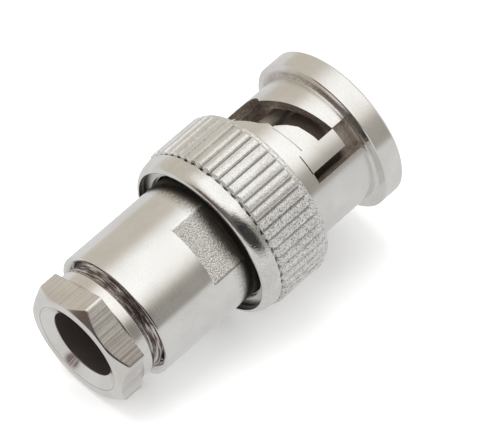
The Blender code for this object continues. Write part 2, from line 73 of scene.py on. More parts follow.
def rounded(points, radius, steps=4, most=0.45):
    """A closed outline whose corners are quarter-turn blends: each corner becomes a quadratic curve that
    starts and ends at most radius away from it, and at most this share of its side."""
    points = np.array(points, float)
    before = np.roll(points, 1, axis=0) - points
    after = np.roll(points, -1, axis=0) - points
    near = np.linalg.norm(before, axis=1, keepdims=True)
    far = np.linalg.norm(after, axis=1, keepdims=True)
    first = points + before / near * np.minimum(radius, near * most)
    last = points + after / far * np.minimum(radius, far * most)
    t = np.linspace(0, 1, steps)[None, :, None]
    curve = (1 - t) ** 2 * first[:, None] + 2 * t * (1 - t) * points[:, None] + t ** 2 * last[:, None]
    return curve.reshape(-1, 2)


def dense_rows(outline, spacing):
    """The same closed outline with extra points, so that no step along it is longer than spacing."""
    step = np.roll(outline, -1, axis=0) - outline
    count = np.maximum(1, np.ceil(np.linalg.norm(step, axis=1) / spacing)).astype(int)
    index = np.repeat(np.arange(len(outline)), count)
    part = np.arange(len(index)) - np.repeat(np.cumsum(count) - count, count)
    return outline[index] + step[index] * (part / count[index])[:, None]


def add_rows(outline, radius, heights, slack=1e-6):
    """The same outline with one more point at each of these heights, on its straight wall of this radius."""
    for z in heights:
        following = np.roll(outline, -1, axis=0)
        wall = (np.abs(outline[:, 0] - radius) < slack) & (np.abs(following[:, 0] - radius) < slack)
        spot = np.flatnonzero(wall & ((outline[:, 1] - z) * (following[:, 1] - z) < 0))[0] + 1
        outline = np.insert(outline, spot, (radius, z), axis=0)
    return outline


def add_object(name, data):
    """A new object of the scene, at the origin."""
    made = bpy.data.objects.new(name, data)
    bpy.context.scene.collection.objects.link(made)
    return made


def turned_surface(name, outline, columns, shape=None, start=0.0, sharp=38.0):
    """Carries an outline of (radius, z) round the axis: x = r sin a, y = -r cos a. The outline runs down its
    outer side. shape takes the arrays a, r and z and gives r and z back, which cuts flats and threads and
    bends waves. Edges that turn by more than sharp degrees stay sharp."""
    a = np.radians(start) + np.linspace(0, 2 * np.pi, columns, endpoint=False)
    angle, r = np.meshgrid(a, outline[:, 0], indexing="ij")
    z = np.broadcast_to(outline[:, 1], r.shape)
    if shape:
        r, z = shape(angle, r, z)
    points = np.stack([r * np.sin(angle), -r * np.cos(angle), z], axis=-1).reshape(-1, 3) * MM
    rows = len(outline)
    i, j = np.meshgrid(np.arange(columns), np.arange(rows), indexing="ij")
    i2, j2 = (i + 1) % columns, (j + 1) % rows
    quads = np.stack([i * rows + j, i * rows + j2, i2 * rows + j2, i2 * rows + j], axis=-1).reshape(-1, 4)
    mesh = bpy.data.meshes.new(name)
    mesh.vertices.add(len(points))
    mesh.vertices.foreach_set("co", points.ravel())
    mesh.loops.add(quads.size)
    mesh.loops.foreach_set("vertex_index", quads.ravel())
    mesh.polygons.add(len(quads))
    mesh.polygons.foreach_set("loop_start", np.arange(0, quads.size, 4))
    mesh.update(calc_edges=True)
    mesh.shade_smooth()
    mesh.set_sharp_from_angle(angle=math.radians(sharp))
    return add_object(name, mesh)


def triangle_thread(a, z, depth):
    """A thread's height: a triangle wave of z / pitch + a / turn between 0 and depth."""
    phase = (z / THREAD_PITCH + a / (2 * np.pi)) % 1.0
    return np.abs(phase - 0.5) * 2 * depth


def feed(tree, socket, value):
    """Links an output to an input socket, or sets a plain value there."""
    if isinstance(value, bpy.types.NodeSocket):
        tree.links.new(value, socket)
    else:
        socket.default_value = value


def node(tree, kind, settings=None, **inputs):
    """A node with its settings. Its inputs are given by name, or as i and their number, as values or as the
    sockets that feed them."""
    made = tree.nodes.new(kind)
    for key, value in (settings or {}).items():
        setattr(made, key, value)
    for key, value in inputs.items():
        numbered = key[0] == "i" and key[1:].isdigit()
        feed(tree, made.inputs[int(key[1:]) if numbered else key.replace("_", " ")], value)
    return made


def calc(tree, operation, *values, clamp=False):
    """The result of a math node."""
    inputs = {f"i{number}": value for number, value in enumerate(values)}
    return node(tree, "ShaderNodeMath", {"operation": operation, "use_clamp": clamp}, **inputs).outputs[0]


def ramp(tree, value, low, high, at_low=0.0, at_high=1.0, unit=1.0, kind="LINEAR"):
    """Maps low..high, in this unit, to at_low..at_high, and holds the ends."""
    return node(tree, "ShaderNodeMapRange", {"interpolation_type": kind}, Value=value, From_Min=low * unit,
                From_Max=high * unit, To_Min=at_low, To_Max=at_high).outputs[0]


def noise(tree, point, scale, detail, roughness=0.5):
    """The value of a noise texture."""
    return node(tree, "ShaderNodeTexNoise", Vector=point, Scale=scale, Detail=detail,
                Roughness=roughness).outputs["Fac"]


def blend(tree, share, first, second):
    """A colour between two colours."""
    return node(tree, "ShaderNodeMix", {"data_type": "RGBA"}, i0=share, i6=first, i7=second).outputs[2]


def blend_value(tree, share, first, second):
    """A value between two values."""
    return node(tree, "ShaderNodeMix", {"data_type": "FLOAT"}, i0=share, i2=first, i3=second).outputs[0]


def own_point(tree):
    """The shaded point in the object's coordinates."""
    return node(tree, "ShaderNodeTexCoord").outputs["Object"]


def split_point(tree):
    """The shaded point's X, Y and Z in the object's coordinates."""
    return node(tree, "ShaderNodeSeparateXYZ", Vector=own_point(tree)).outputs


def off_axis(tree, at):
    """The point's offset from the axis."""
    return node(tree, "ShaderNodeCombineXYZ", X=at["X"], Y=at["Y"]).outputs[0]


def radius_of(tree, at):
    """The point's distance from the axis."""
    return node(tree, "ShaderNodeVectorMath", {"operation": "LENGTH"}, i0=off_axis(tree, at)).outputs["Value"]


def new_group(name, inputs, outputs):
    """A shader node group with named float and colour sockets."""
    tree = bpy.data.node_groups.new(name, "ShaderNodeTree")
    for label, kind, value in inputs:
        tree.interface.new_socket(label, in_out="INPUT", socket_type=kind).default_value = value
    for label, kind in outputs:
        tree.interface.new_socket(label, in_out="OUTPUT", socket_type=kind)
    return tree, tree.nodes.new("NodeGroupInput").outputs, tree.nodes.new("NodeGroupOutput").inputs


def plate_tone_group():
    """Tone of a plated surface: broad clouds and fine flecks between a light and a dark colour, and roughness
    that rises where it is dark."""
    tree, start, end = new_group(
        "plate_tone",
        (("Light", "NodeSocketColor", (0.8, 0.8, 0.8, 1)), ("Dark", "NodeSocketColor", (0.6, 0.6, 0.6, 1)),
         ("Clouds", "NodeSocketFloat", 400.0), ("Flecks", "NodeSocketFloat", 9000.0),
         ("Amount", "NodeSocketFloat", 0.5), ("Roughness", "NodeSocketFloat", 0.3)),
        (("Color", "NodeSocketColor"), ("Roughness", "NodeSocketFloat")))
    point = own_point(tree)
    clouds = noise(tree, point, start["Clouds"], 3.0)
    flecks = noise(tree, point, start["Flecks"], 2.0)
    both = calc(tree, "MULTIPLY_ADD", flecks, 0.45, clouds)
    share = calc(tree, "MULTIPLY", ramp(tree, both, 0.55, 0.92, kind="SMOOTHSTEP"), start["Amount"])
    feed(tree, end["Color"], blend(tree, share, start["Light"], start["Dark"]))
    feed(tree, end["Roughness"], calc(tree, "MULTIPLY_ADD", share, 0.16, start["Roughness"]))
    return tree


def lathe_marks_group():
    """Height of the fine rings that a lathe leaves: noise over radius and z that hardly changes round the
    axis."""
    tree, start, end = new_group(
        "lathe_marks", (("Fineness", "NodeSocketFloat", 9000.0), ("Drift", "NodeSocketFloat", 0.03)),
        (("Height", "NodeSocketFloat"),))
    at = split_point(tree)
    drift = calc(tree, "MULTIPLY", at["X"], start["Drift"])
    rings = node(tree, "ShaderNodeCombineXYZ", X=radius_of(tree, at), Y=drift, Z=at["Z"]).outputs[0]
    feed(tree, end["Height"], noise(tree, rings, start["Fineness"], 3.0))
    return tree


def cast_grain_group():
    """Height of a cast or bead-blasted skin: small round grains on a gently uneven ground."""
    tree, start, end = new_group(
        "cast_grain", (("Grain", "NodeSocketFloat", 6500.0),), (("Height", "NodeSocketFloat"),))
    point = own_point(tree)
    grains = node(tree, "ShaderNodeTexVoronoi", {"feature": "SMOOTH_F1"}, Vector=point, Scale=start["Grain"])
    ground = noise(tree, point, calc(tree, "MULTIPLY", start["Grain"], 0.74), 4.0, 0.62)
    feed(tree, end["Height"], calc(tree, "MULTIPLY_ADD", grains.outputs["Distance"], -0.5, ground))
    return tree


def mill_lines_group():
    """Height of the marks that a milling cutter leaves on a side: noise over x and y, drawn out along z."""
    tree, start, end = new_group(
        "mill_lines", (("Grain", "NodeSocketFloat", 6000.0),), (("Height", "NodeSocketFloat"),))
    drawn = node(tree, "ShaderNodeVectorMath", {"operation": "MULTIPLY"}, i0=own_point(tree),
                 i1=(1.0, 1.0, 0.006)).outputs[0]
    feed(tree, end["Height"], noise(tree, drawn, start["Grain"], 3.0, 0.7))
    return tree


plate_tone = plate_tone_group()
lathe_marks = lathe_marks_group()
cast_grain = cast_grain_group()
mill_lines = mill_lines_group()


def group_height(tree, group, **inputs):
    """The height that a shared group gives."""
    return node(tree, "ShaderNodeGroup", {"node_tree": group}, **inputs).outputs["Height"]


def bumped(tree, height, distance=MM):
    """The normal of a surface that this height roughens."""
    return node(tree, "ShaderNodeBump", Strength=1.0, Distance=distance, Height=height).outputs["Normal"]


def new_material(name, colors, roughness, amount, clouds, flecks):
    """A material, its tree, its shader's inputs, and the colour and roughness that the plate's tone gives."""
    mat = bpy.data.materials.new(name)
    mat.use_nodes = True
    tree = mat.node_tree
    light, dark = [(*color, 1) for color in colors]
    tone = node(tree, "ShaderNodeGroup", {"node_tree": plate_tone}, Light=light, Dark=dark, Clouds=clouds,
                Flecks=flecks, Amount=amount, Roughness=roughness).outputs
    return mat, tree, tree.nodes["Principled BSDF"].inputs, tone["Color"], tone["Roughness"]


def plated_metal(name, colors, roughness, amount=0.5, clouds=350.0, flecks=7000.0, metallic=1.0, marks=0.0,
                 fineness=9000.0, grain=0.0, grain_size=6500.0, skin=cast_grain, mask=None, grain_rough=0.0,
                 grain_dull=0.0, shade=None, shade_color=None, shade_rough=0.45, shade_dull=0.0):
    """A metal whose tone, roughness and bump come from the shared groups. marks and grain are heights in mm.
    mask is a function that gives the share of the surface which has the skin's grain instead of lathe marks,
    and shade one that gives the share with another, duller tone: specks and marks, and in several materials
    painted shade and painted reflections. grain_rough is the roughness that the grain adds, grain_dull and
    shade_dull are the shares of metal lustre that grain and duller tone take away."""
    mat, tree, shader, color, rough = new_material(name, colors, roughness, amount, clouds, flecks)
    lustre = metallic
    height = calc(tree, "MULTIPLY", group_height(tree, lathe_marks, Fineness=fineness), marks)
    grains = calc(tree, "MULTIPLY", group_height(tree, skin, Grain=grain_size), grain)
    if shade:
        dull = shade(tree)
        color = blend(tree, dull, color, (*shade_color, 1))
        rough = blend_value(tree, dull, rough, shade_rough)
    if mask:
        share = mask(tree)
        height = blend_value(tree, share, height, grains)
    else:
        height = calc(tree, "ADD", height, grains)
    if grain_rough or grain_dull:
        full = calc(tree, "POWER", share, 2.0)
        rough = calc(tree, "MULTIPLY_ADD", full, grain_rough, rough)
        lustre = calc(tree, "MULTIPLY_ADD", full, -grain_dull, lustre)
    if shade_dull:
        lustre = calc(tree, "MULTIPLY_ADD", dull, -shade_dull, lustre)
    feed(tree, shader["Metallic"], lustre)
    feed(tree, shader["Base Color"], color)
    feed(tree, shader["Roughness"], rough)
    feed(tree, shader["Normal"], bumped(tree, height))
    return mat


def body_cuts(a, r, z):
    """Wrench flats: r is held to distance / cos(a - flat) between the flat's ends. Mouth thread: inside the
    mouth r grows by the thread's height, which rises over its start and fades out before the chamfer."""
    turn = (a - np.radians(FLAT_ANGLE) + np.pi / 2) % np.pi - np.pi / 2
    held = np.minimum(r, FLAT_DISTANCE / np.maximum(np.cos(turn), 0.2))
    r = np.where((z > FLAT_FRONT) & (z < FLAT_REAR) & (r > FLAT_DISTANCE), held, r)
    thread = triangle_thread(a, z, MOUTH_THREAD_DEPTH) * np.clip((z - MOUTH_THREAD_START) / 0.3, 0, 1)
    inside = (np.abs(r - MOUTH_RADIUS) < 0.02) & (z > MOUTH_THREAD_START - 0.1)
    return np.where(inside, r + thread * np.clip((BODY_REAR - MOUTH_CHAMFER_DEPTH - z) / 0.2, 0, 1), r), z


body_outline = rounded([
    (MOUTH_RADIUS + MOUTH_CHAMFER_WIDTH, BODY_REAR), (BODY_RADIUS - 0.02, BODY_REAR),
    (BODY_RADIUS, BODY_REAR - 0.10), (BODY_RADIUS, FLANGE_REAR), (FLANGE_RADIUS, FLANGE_REAR),
    (FLANGE_RADIUS, FLANGE_FRONT), (CONTACT_SOCKET_RADIUS, FLANGE_FRONT),
    (CONTACT_SOCKET_RADIUS, CONTACT_SOCKET_END), (WIRE_BORE_RADIUS, CONTACT_SOCKET_END),
    (WIRE_BORE_RADIUS, WIRE_BORE_END), (CLAMP_SEAT_RADIUS, WIRE_BORE_END), (CLAMP_SEAT_RADIUS, CLAMP_SEAT_END),
    (MOUTH_RADIUS, CLAMP_SEAT_END), (MOUTH_RADIUS, BODY_REAR - MOUTH_CHAMFER_DEPTH)], 0.07)
body_outline = dense_rows(body_outline, 0.50)
thread_rows = np.arange(MOUTH_THREAD_START - 0.05, BODY_REAR - 0.30, MOUTH_ROW_STEP)
body_outline = add_rows(body_outline, MOUTH_RADIUS, thread_rows)
flat_ends = [z + step for z in (FLAT_FRONT, FLAT_REAR) for step in (-0.012, 0.012)]
body_outline = add_rows(body_outline, BODY_RADIUS, flat_ends)
plug_body = turned_surface("plug_body_shell", body_outline, 360, body_cuts, start=FLAT_ANGLE)


def on_flats(tree):
    """1 on the wrench flats: between their ends and nearer to the axis than the cylinder is."""
    at = split_point(tree)
    near = ramp(tree, radius_of(tree, at), BODY_RADIUS - 0.01, BODY_RADIUS - 0.05, unit=MM)
    return calc(tree, "MULTIPLY", near, calc(tree, "LESS_THAN", at["Z"], (FLAT_REAR + 0.01) * MM))


def specks(tree, where, size, low, high):
    """Dark specks of a rough casting in the area that where marks: noise between two thresholds."""
    spots = ramp(tree, noise(tree, own_point(tree), size, 2.0, 0.6), low, high)
    return calc(tree, "MULTIPLY", spots, where(tree))


def body_specks_and_painted_shade(tree):
    """Specks on the flats, and a painted shade beside the coupling's lip: a dull brown band that paints the
    reflection of the dark gap there. It fades with z, and noise frays its edge."""
    fray = noise(tree, own_point(tree), 6000.0, 3.0)
    height = calc(tree, "MULTIPLY_ADD", fray, PAINTED_SHADE_FRAY * MM, split_point(tree)["Z"])
    band = ramp(tree, height, *Z_PAINTED_SHADE, at_high=0.92, unit=MM, kind="SMOOTHSTEP")
    return calc(tree, "MAXIMUM", specks(tree, on_flats, 11000.0, 0.48, 0.74), band)


# Its shade_color tints the specks on the flats and is the painted shade beside the coupling's lip.
body_metal = plated_metal("nickel_satin_turned", SATIN_NICKEL, 0.155, amount=0.35, marks=0.0018,
                          fineness=8000.0, grain=0.022, grain_size=11000.0, mask=on_flats,
                          shade=body_specks_and_painted_shade, shade_color=(0.20, 0.175, 0.145), shade_rough=0.32)
plug_body.data.materials.append(body_metal)
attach(plug_body, "plug_body")
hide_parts("body_shell")


# Contacts, insulators and seal
# The outer contact is a slit spring sleeve of plated bronze, the pin is gold plated, and both sit in two
# white bushes. A ring of red silicone rubber lies round the root of the contact.
# Where the contact turns darker, a painted shade inside the barrel, and where it stays lighter on the +X side,
# a painted light.
Z_CONTACT_SHADE, X_CONTACT_LIT = (2.7, 3.4), (3.0, 3.6)


def assign(mat, *names):
    """Gives carried-over CAD nodes their finish."""
    for name in names:
        materials = nodes[name].data.materials
        materials.clear()
        materials.append(mat)


def matt_stuff(name, light, dark, roughness, grain, size):
    """A matt plastic or rubber with clouded tone and a fine skin, whose grain is a height in mm."""
    mat, tree, shader, color, rough = new_material(name, (light, dark), roughness, 0.6, 500.0, 6000.0)
    feed(tree, shader["Base Color"], color)
    feed(tree, shader["Roughness"], rough)
    feed(tree, shader["Normal"], bumped(tree, group_height(tree, cast_grain, Grain=size), grain * MM))
    return mat


def contact_painted_shade(tree):
    """1 on the contact behind its tips, a painted shade that darkens it inside the barrel, and less on its +X
    side, a painted light where light falls in through the window."""
    at = split_point(tree)
    side = ramp(tree, at["X"], *X_CONTACT_LIT, 1.0, 0.25, unit=MM)
    return calc(tree, "MULTIPLY", ramp(tree, at["Z"], *Z_CONTACT_SHADE, unit=MM), side)


# Its shade_color is the painted shade on the contact inside the barrel.
contact_metal = plated_metal("bronze_contact", ((0.86, 0.78, 0.68), (0.50, 0.42, 0.34)), 0.40, amount=0.9,
                             clouds=900.0, metallic=0.55, grain=0.03, grain_size=3600.0, shade=contact_painted_shade,
                             shade_color=(0.13, 0.10, 0.08))
gold_metal = plated_metal("gold_plate_pin", ((0.93, 0.70, 0.33), (0.78, 0.54, 0.22)), 0.22, amount=0.4,
                          marks=0.002)
white_resin = matt_stuff("white_ptfe", (0.86, 0.86, 0.84), (0.74, 0.73, 0.70), 0.50, 0.006, 5000.0)
red_rubber = matt_stuff("red_silicone", (0.42, 0.12, 0.08), (0.30, 0.08, 0.06), 0.62, 0.010, 4000.0)
assign(contact_metal, "outer_contact")
assign(gold_metal, "center_pin")
assign(white_resin, "insulator_front", "insulator_rear")
assign(red_rubber, "front_seal")


# Springs and rings behind the flange
# Two waved washers press the plug home. A flat washer and a split ring of spring steel carry their push to
# the coupling, and the ring shows as a bright line in the gap at the lip.
WAVE_BORE = 5.58
WAVE_THICKNESS = 0.18

spring_metal = plated_metal("spring_steel", ((0.70, 0.69, 0.67), (0.50, 0.48, 0.45)), 0.26, amount=0.4,
                            marks=0.003)
assign(spring_metal, "thrust_washer", "retaining_ring")


def wave_washer(name, turn):
    """A flat ring bent to three waves: z + rise cos(3 a + turn), with a half wave's shift in the second ring,
    so that crest meets crest."""
    low, high = np.array(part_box(name)) / MM
    half = WAVE_THICKNESS / 2
    middle, rise = (low[2] + high[2]) / 2, (high[2] - low[2]) / 2 - half
    outline = rounded([(WAVE_BORE, middle + half), (high[0], middle + half), (high[0], middle - half),
                       (WAVE_BORE, middle - half)], 0.04)
    washer = turned_surface(name + "_piece", outline, 180,
                            lambda a, r, z: (r, z + rise * np.cos(3 * a + turn)))
    washer.data.materials.append(spring_metal)
    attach(washer, "plug_body")
    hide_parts(name)
    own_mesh(washer)


wave_washer("wave_washer_front", -1.5 * math.pi)
wave_washer("wave_washer_rear", -0.5 * math.pi)


# Cable clamp
# The flanged braid clamp, the vee gasket and the slip washer lie in the mouth, under the gland nut. They keep
# the shapes of their solids.
clamp_metal = plated_metal("nickel_clamp", SATIN_NICKEL, 0.30, amount=0.5, marks=0.004)
assign(clamp_metal, "braid_clamp", "slip_washer")
assign(red_rubber, "cable_gasket")


# Coupling barrel and collar
# The front of the coupling is a die casting, turned smooth outside: a collar, a thin barrel, and through the
# barrel the windows, slits, ramps and locking holes of the bayonet.
BARREL_REAR, BARREL_RADIUS = 8.40, 5.66
# SLOT_RIM is the radius of the painted glint along the cut-outs' inner rim; the fillet's radii, x and z place
# the painted shade at the collar's foot.
SLOT_RIM = 4.97
COLLAR_REAR = 1.90
FILLET_RADII, X_FILLET, Z_FILLET = (6.30, 5.90), (-3.6, -2.4), (2.24, 2.12)


def keep_front(mesh, height):
    """Welds a copy of the solid's loose triangles and keeps what lies in front of a height."""
    bm = bmesh.new()
    bm.from_mesh(mesh)
    bmesh.ops.remove_doubles(bm, verts=bm.verts, dist=1e-7)
    everything = bm.verts[:] + bm.edges[:] + bm.faces[:]
    bmesh.ops.bisect_plane(bm, geom=everything, plane_co=(0, 0, height * MM), plane_no=(0, 0, 1),
                           clear_outer=True)
    bm.to_mesh(mesh)
    bm.free()


def read(items, key, width=1, kind=float):
    """One property of all vertices, corners or faces, as an array."""
    values = np.empty(len(items) * width, kind)
    items.foreach_get(key, values)
    return values.reshape(-1, width) if width > 1 else values


def turned_normals(mesh, aslant=0.10):
    """Corner normals of a turned shape. A face that looks away from or along the axis keeps its slope, and
    each of its corners looks straight out at its own angle. Every other face, such as a slot's wall, stays
    flat."""
    points = read(mesh.vertices, "co", 3)[read(mesh.loops, "vertex_index", kind=int)]
    sides = read(mesh.polygons, "loop_total", kind=int)
    normals = np.repeat(read(mesh.polygons, "normal", 3), sides, axis=0)
    centres = np.repeat(read(mesh.polygons, "center", 3), sides, axis=0)
    out = centres[:, :2] / np.linalg.norm(centres[:, :2], axis=1, keepdims=True)
    own = points[:, :2] / np.maximum(np.linalg.norm(points[:, :2], axis=1, keepdims=True), 1e-9)
    slope = np.sum(normals[:, :2] * out, axis=1)
    aside = np.abs(normals[:, 1] * out[:, 0] - normals[:, 0] * out[:, 1])
    turned = np.column_stack([slope[:, None] * own, normals[:, 2]])
    chosen = np.where((aside < aslant)[:, None], turned, normals)
    mesh.shade_smooth()
    mesh.normals_split_custom_set((chosen / np.linalg.norm(chosen, axis=1, keepdims=True)).tolist())


barrel_mesh = nodes["coupling_sleeve"].data.copy()
barrel = add_object("coupling_barrel", barrel_mesh)
keep_front(barrel_mesh, BARREL_REAR)
turned_normals(barrel_mesh)


def cast_skin_and_painted_shade(tree):
    """1 on the dull brown tone of the casting, which is painted shade: inside the barrel and on the walls of
    the cut-outs, except for their inner rim, where the bright plate is a painted glint, and in the fillet at
    the collar's foot, where it fades towards -X and away from the collar. The same share gives these places
    the grain of the cast skin. Noise mottles it."""
    at = split_point(tree)
    radius = radius_of(tree, at)
    wall = ramp(tree, radius, BARREL_RADIUS, BARREL_RADIUS - 0.10, unit=MM)
    # A painted glint: the inner rim keeps the bright plate.
    glint_rim = calc(tree, "COMPARE", radius, SLOT_RIM * MM, 0.04 * MM)
    inner = calc(tree, "MULTIPLY_ADD", glint_rim, -0.8, wall, clamp=True)
    fillet = ramp(tree, radius, *FILLET_RADII, at_high=0.75, unit=MM)
    fillet = calc(tree, "MULTIPLY", fillet, ramp(tree, at["X"], *X_FILLET, unit=MM))
    fillet = calc(tree, "MULTIPLY", fillet, ramp(tree, at["Z"], *Z_FILLET, unit=MM))
    fillet = calc(tree, "MULTIPLY", fillet, calc(tree, "GREATER_THAN", at["Z"], COLLAR_REAR * MM))
    mottle = ramp(tree, noise(tree, own_point(tree), 3800.0, 5.0, 0.65), 0.36, 0.60, at_low=0.45)
    return calc(tree, "MULTIPLY", calc(tree, "MAXIMUM", inner, fillet), mottle)


# Its shade_color is the painted shade inside the barrel, on the cut-outs' walls and in the collar's fillet.
barrel_metal = plated_metal("nickel_barrel", ((0.84, 0.83, 0.81), (0.66, 0.63, 0.58)), 0.17, amount=0.32,
                            marks=0.004, grain=0.030, grain_size=6000.0, mask=cast_skin_and_painted_shade, shade=cast_skin_and_painted_shade,
                            shade_color=(0.33, 0.25, 0.20), shade_rough=0.36, shade_dull=0.30)
barrel_mesh.materials.clear()
barrel_mesh.materials.append(barrel_metal)
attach(barrel, "coupling")


# Knurled ring and lip
# The rear of the same casting, left as cast: 52 ribs with narrow grooves between plain bands, and a rounded
# lip that closes over the flange, the springs and the split ring.
RIBS, RIB_PHASE, RIB_RADIUS = 52, 0.4, 7.25
RIB_FRONT, RIB_REAR = 8.95, 13.45
RIB_FRONT_EDGE, RIB_REAR_EDGE = (-0.02, 0.16), (-0.02, 0.14)
FRONT_SPREAD, REAR_SPREAD, CREST_SPREAD = (-0.03, 0.05), (-0.06, 0.04), (0.0, 0.025)
BAND_RADIUS, BAND_FRONT = 7.03, 8.60
GROOVE_FLOOR, GROOVE_SIDE, GROOVE_END = 6.97, (0.03, 0.135), (-0.16, -0.02)
CROWN, CROWN_SIDE = 0.040, (0.10, 0.40)
NOTCH, NOTCH_MORE, NOTCH_SIDE = 0.05, 0.13, (0.08, 0.32)
NOTCH_FRONT_EDGE, NOTCH_REAR_EDGE = (-0.02, 0.03), (0.08, 0.16)
LIP_REAR, LIP_BORE = 15.05, 6.35
LIP_CENTRE, LIP_WIDTH, LIP_LENGTH = (6.45, 13.85), 0.58, 1.20
BORE_RADIUS, BORE_END = 4.90, 11.30
RING_GROOVE_FRONT, RING_GROOVE_REAR, RING_GROOVE_RADIUS = 14.15, 14.50, 6.65
# BROKEN_LINE, GROOVE_LINE and X_DARK place painted shade: dark lines in the notch behind the ribs and in each
# groove.
WORN_CREST, BROKEN_LINE, GROOVE_LINE = (0.14, 0.32), (0.34, 0.14), (0.10, 0.03)
X_SANDY, X_RUBBED, X_DARK, X_SMOOTH = (-1.9, -0.6), (-1.9, -0.8), (1.0, 4.5), (2.8, 5.0)


def smooth_step(low, high, x):
    """0 below low, 1 above high, and 3t^2 - 2t^3 between."""
    t = np.clip((x - low) / (high - low), 0, 1)
    return t * t * (3 - 2 * t)


def knurl(a, r, z):
    """Ribs: r rises to a crowned rib between its rounded ends, and falls to the groove's floor near each
    groove's middle. Each rib's ends and height differ a little, as cast, and a notch behind the ribs, deeper
    at the grooves, parts them from the lip."""
    turns = (np.degrees(a) - RIB_PHASE) / 360.0 * RIBS
    rib = np.floor(turns).astype(int) % RIBS
    chance = np.random.default_rng(7)
    front = (RIB_FRONT + chance.uniform(*FRONT_SPREAD, RIBS))[rib]
    rear = (RIB_REAR + chance.uniform(*REAR_SPREAD, RIBS))[rib]
    crest = (RIB_RADIUS - chance.uniform(*CREST_SPREAD, RIBS))[rib]
    away = np.abs(turns - np.round(turns)) * 2 * np.pi * RIB_RADIUS / RIBS
    rise = smooth_step(*RIB_FRONT_EDGE, z - front) * smooth_step(*RIB_REAR_EDGE, rear - z)
    groove = 1 - smooth_step(*GROOVE_SIDE, away)
    reach = smooth_step(*GROOVE_END, z - RIB_FRONT) * smooth_step(*GROOVE_END, RIB_REAR - z)
    crown = CROWN * (1 - smooth_step(*CROWN_SIDE, away))
    ribbed = BAND_RADIUS + (crest - BAND_RADIUS - crown) * rise * (1 - groove)
    ribbed = ribbed - (BAND_RADIUS - GROOVE_FLOOR) * groove * reach
    notch = NOTCH + NOTCH_MORE * (1 - smooth_step(*NOTCH_SIDE, away))
    notch = notch * smooth_step(*NOTCH_FRONT_EDGE, z - rear) * (1 - smooth_step(*NOTCH_REAR_EDGE, z - rear))
    outside = (r > BAND_RADIUS - 0.001) & (z > BAND_FRONT + 0.10) & (z < LIP_CENTRE[1] + 0.15)
    return np.where(outside, ribbed - notch, r), z


lip_turn = np.radians(np.linspace(82, 0, 9))
lip_arc = np.column_stack([LIP_CENTRE[0] + LIP_WIDTH * np.cos(lip_turn),
                           LIP_CENTRE[1] + LIP_LENGTH * np.sin(lip_turn)]).tolist()
ring_outline = rounded([
    (LIP_BORE, LIP_REAR - 0.02), (LIP_BORE + 0.06, LIP_REAR), *lip_arc, (BAND_RADIUS, RIB_FRONT),
    (BAND_RADIUS, BAND_FRONT), (BARREL_RADIUS, BARREL_REAR), (BORE_RADIUS, BARREL_REAR),
    (BORE_RADIUS, BORE_END), (LIP_BORE, BORE_END), (LIP_BORE, RING_GROOVE_FRONT),
    (RING_GROOVE_RADIUS, RING_GROOVE_FRONT), (RING_GROOVE_RADIUS, RING_GROOVE_REAR),
    (LIP_BORE, RING_GROOVE_REAR)], 0.16, 3)
ring_outline = dense_rows(ring_outline, 0.50)
rib_end_rows = [z + step for z in (RIB_FRONT, RIB_REAR) for step in np.arange(-0.185, 0.235, 0.0347)]
ring_outline = add_rows(ring_outline, BAND_RADIUS, rib_end_rows)
knurled_ring = turned_surface("knurled_ring", ring_outline, RIBS * 14, knurl, start=RIB_PHASE, sharp=50.0)


def from_groove(tree, at):
    """0 in the middle of a groove and 0.5 in the middle of a rib, from the angle a = atan2(x, -y)."""
    angle = calc(tree, "ARCTAN2", at["X"], calc(tree, "MULTIPLY", at["Y"], -1.0))
    turns = calc(tree, "MULTIPLY_ADD", angle, RIBS / (2 * math.pi), -RIB_PHASE / 360 * RIBS)
    return calc(tree, "PINGPONG", turns, 0.5)


def on_ribs(tree):
    """1 on the front band and in the grooves, which keep the grain of the casting, less on the ribs' crests
    where fingers have worn them and on the +X side, and little on the smooth lip."""
    at = split_point(tree)
    rough = ramp(tree, at["Z"], RIB_REAR + 0.25, RIB_REAR - 0.05, at_low=0.20, unit=MM)
    crest = ramp(tree, from_groove(tree, at), *WORN_CREST, 1.0, 0.62)
    crest = calc(tree, "MAXIMUM", crest, ramp(tree, at["X"], *X_SANDY, 1.0, 0.0, unit=MM))
    crest = calc(tree, "MULTIPLY", crest, ramp(tree, at["X"], *X_SMOOTH, 1.0, 0.42, unit=MM))
    return calc(tree, "MULTIPLY", rough, crest)


def rib_specks_and_painted_shade(tree):
    """Specks on the ribs, fewer where fingers rub them, and painted shade: a thin line in each groove, darker
    on the +X side, the broken line in the notch where the ribs meet the lip, and the lip's bore."""
    at = split_point(tree)
    away = from_groove(tree, at)
    line = calc(tree, "COMPARE", at["Z"], (RIB_REAR + 0.07) * MM, 0.07 * MM)
    line = calc(tree, "MULTIPLY", line, ramp(tree, away, *BROKEN_LINE, at_low=0.15))
    ribbed = calc(tree, "COMPARE", at["Z"], (RIB_FRONT + RIB_REAR) / 2 * MM, (RIB_REAR - RIB_FRONT) / 2 * MM)
    groove = calc(tree, "MULTIPLY", ramp(tree, away, *GROOVE_LINE, at_high=0.45), ribbed)
    groove = calc(tree, "MULTIPLY", groove, ramp(tree, at["X"], *X_DARK, 1.0, 2.0, unit=MM))
    dots = specks(tree, on_ribs, 9500.0, 0.49, 0.64)
    dots = calc(tree, "MULTIPLY", dots, ramp(tree, at["X"], *X_RUBBED, 0.80, 0.34, unit=MM))
    bore = calc(tree, "LESS_THAN", radius_of(tree, at), (LIP_BORE + 0.06) * MM)
    for part in (bore, line, groove):
        dots = calc(tree, "MAXIMUM", dots, part)
    return dots


